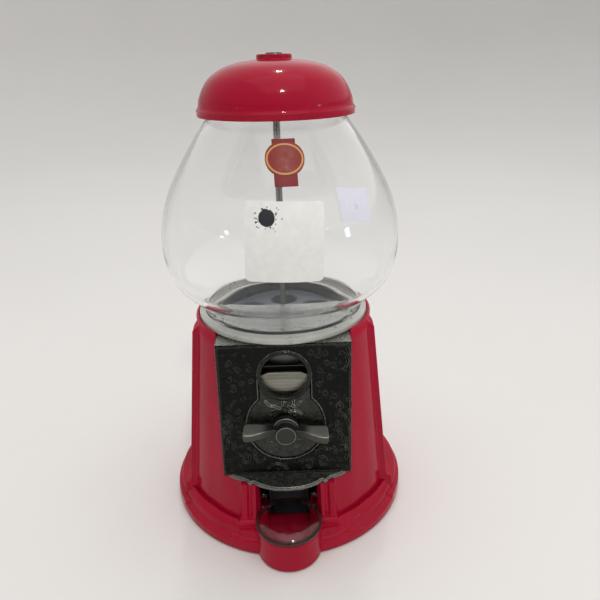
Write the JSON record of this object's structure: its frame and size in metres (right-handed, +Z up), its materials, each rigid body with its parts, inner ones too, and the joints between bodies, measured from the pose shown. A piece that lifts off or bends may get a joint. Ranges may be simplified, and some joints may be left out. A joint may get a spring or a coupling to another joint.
{
  "type": "gumball machine",
  "caption": "Countertop gumball machine: flared cast stand with a round foot, clear globe under a domed lid, leaning coin mechanism with a winged crank, and a cup with a hinged clear flap.",
  "frame": {"origin": "centre of the overall footprint at floor level; the tie rod's axis is 5.9 mm behind it", "axes": "+Z up along the tie rod, -Y out of the coin mechanism's face, +X to the right seen from the front"},
  "size_m": [0.154, 0.1661, 0.2794],
  "materials": {
    "red_paint": "glossy crimson enamel",
    "pewter": "dark antique pewter, softly worn",
    "pewter_handle": "dark pewter with rubbed lighter edges",
    "brushed_steel": "brushed",
    "zinc_steel": "zinc plated",
    "clear_glass": "clear and glossy",
    "clear_plastic": "clear plastic, glossy",
    "dark_steel": "dark satin steel",
    "dark_plastic": "satin blue-grey",
    "grey_plastic": "satin light grey",
    "white_plastic": "satin off-white",
    "white_rubber": "soft",
    "black_rubber": "matte",
    "label_white": "satin paper",
    "label_gold": "satin foil"
  },
  "bodies": {
    "stand": {"base_body": "red_paint", "bottom_cover": "zinc_steel", "foot_pad_1": "black_rubber", "foot_pad_2": "black_rubber", "foot_pad_3": "black_rubber", "foot_pad_4": "black_rubber", "tie_rod": "zinc_steel", "rod_washer": "zinc_steel", "rod_nut": "zinc_steel", "hopper_pan": "dark_steel", "gum_baffle": "grey_plastic", "globe_gasket": "white_rubber", "gum_chute": "dark_plastic", "mech_faceplate": "pewter", "mech_backplate": "brushed_steel", "mech_screw_1": "zinc_steel", "mech_screw_2": "zinc_steel", "mech_screw_3": "zinc_steel", "mech_screw_4": "zinc_steel", "idler_pin": "zinc_steel", "pawl_pin": "zinc_steel"},
    "crank": {"crank_handle": "pewter_handle", "crank_shaft": "zinc_steel", "coin_wheel": "brushed_steel", "drive_pinion": "white_plastic", "shaft_clip": "zinc_steel"},
    "idler": {"idler_gear": "white_plastic"},
    "gum_wheel": {"dispensing_wheel": "dark_plastic"},
    "globe_set": {"globe": "clear_glass", "front_label": "label_white", "seal_label": "label_gold", "lot_label": "label_white"},
    "lid_set": {"lid": "red_paint"},
    "nut": {"lid_nut": "dark_steel"},
    "flap": {"chute_flap": "clear_plastic"},
    "pawl": {"coin_pawl": "brushed_steel"}
  },
  "joints": [
    {"name": "crank_turn", "type": "hinge", "parent": "stand", "child": "crank", "pos_m": [0, -0.0541, 0.0785], "axis": [0, 1, 0], "continuous": true},
    {"name": "idler_turn", "type": "hinge", "parent": "stand", "child": "idler", "pos_m": [0, -0.0301, 0.0995], "axis": [0, 1, 0], "continuous": true},
    {"name": "gum_wheel_turn", "type": "hinge", "parent": "stand", "child": "gum_wheel", "pos_m": [0, 0.0059, 0.12], "axis": [0, 0, 1], "continuous": true},
    {"name": "globe_lift", "type": "slide", "parent": "stand", "child": "globe_set", "axis": [0, 0, 1], "range_m": [0, 0.15]},
    {"name": "lid_lift", "type": "slide", "parent": "globe_set", "child": "lid_set", "axis": [0, 0, 1], "range_m": [0, 0.06]},
    {"name": "lid_nut_turn", "type": "hinge", "parent": "lid_set", "child": "nut", "pos_m": [0, 0.0059, 0.278], "axis": [0, 0, 1], "continuous": true},
    {"name": "flap_hinge", "type": "hinge", "parent": "stand", "child": "flap", "pos_m": [0, -0.0456, 0.0235], "axis": [-1, 0, 0], "range_deg": [0, 36]},
    {"name": "pawl_hinge", "type": "hinge", "parent": "stand", "child": "pawl", "pos_m": [-0.024, -0.0423, 0.107], "axis": [0, 1, 0], "range_deg": [0, 15]}
  ],
  "couplings": [
    {"joint": "idler_turn", "follows": "crank_turn", "ratio": -0.4},
    {"joint": "gum_wheel_turn", "follows": "crank_turn", "ratio": -0.16667}
  ]
}
